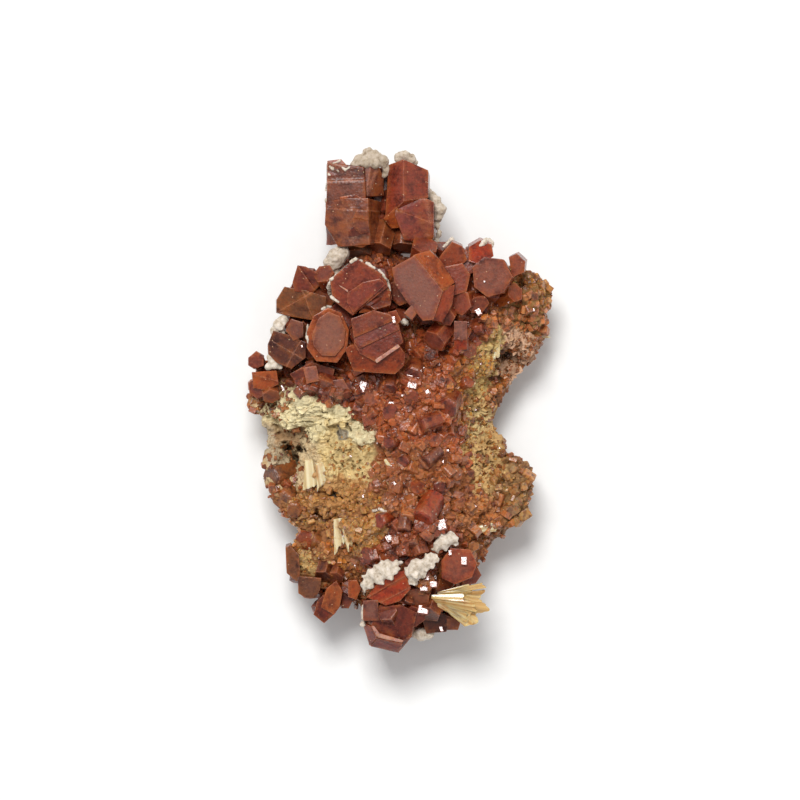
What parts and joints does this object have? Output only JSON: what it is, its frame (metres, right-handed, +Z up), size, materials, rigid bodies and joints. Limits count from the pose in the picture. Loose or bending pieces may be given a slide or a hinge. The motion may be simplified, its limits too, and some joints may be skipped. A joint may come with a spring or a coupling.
{
  "type": "vanadinite on matrix",
  "caption": "Mineral specimen lying on its flat back: stout hexagonal vanadinite crystals and a drusy crust on a rough brown rock, with barite blades and white crust.",
  "frame": {"origin": "under the middle of the specimen, on the surface that it rests on", "axes": "+Z up, out of the crystal face; +Y towards the crown cluster, along the longest side; +X towards the wider right shoulder"},
  "size_m": [0.049, 0.0808, 0.0271],
  "materials": {
    "rock": "rough",
    "crown_vanadinite": "gloss",
    "shoulder_vanadinite": "gloss",
    "left_shoulder_vanadinite": "gloss",
    "left_edge_vanadinite": "gloss",
    "drusy_vanadinite": "gloss",
    "lower_left_vanadinite": "gloss",
    "foot_vanadinite": "gloss",
    "lower_right_vanadinite": "gloss",
    "barite": "satin",
    "white_crust": "matte"
  },
  "bodies": {
    "root": {"matrix": "rock", "crown_crystals": "crown_vanadinite", "shoulder_crystals": "shoulder_vanadinite", "left_shoulder_crystals": "left_shoulder_vanadinite", "left_edge_crystals": "left_edge_vanadinite", "drusy_crust": "drusy_vanadinite", "lower_left_crystals": "lower_left_vanadinite", "foot_crystals": "foot_vanadinite", "lower_right_crystals": "lower_right_vanadinite", "barite_blades": "barite", "white_crust_crown_cap": "white_crust", "white_crust_crown_right_cap": "white_crust", "white_crust_crown_side": "white_crust", "white_crust_neck": "white_crust", "white_crust_left_upper": "white_crust", "white_crust_left_lower": "white_crust", "white_crust_lower_middle": "white_crust", "white_crust_lower_right": "white_crust", "white_crust_lower_cap": "white_crust", "white_crust_foot": "white_crust"}
  },
  "joints": []
}
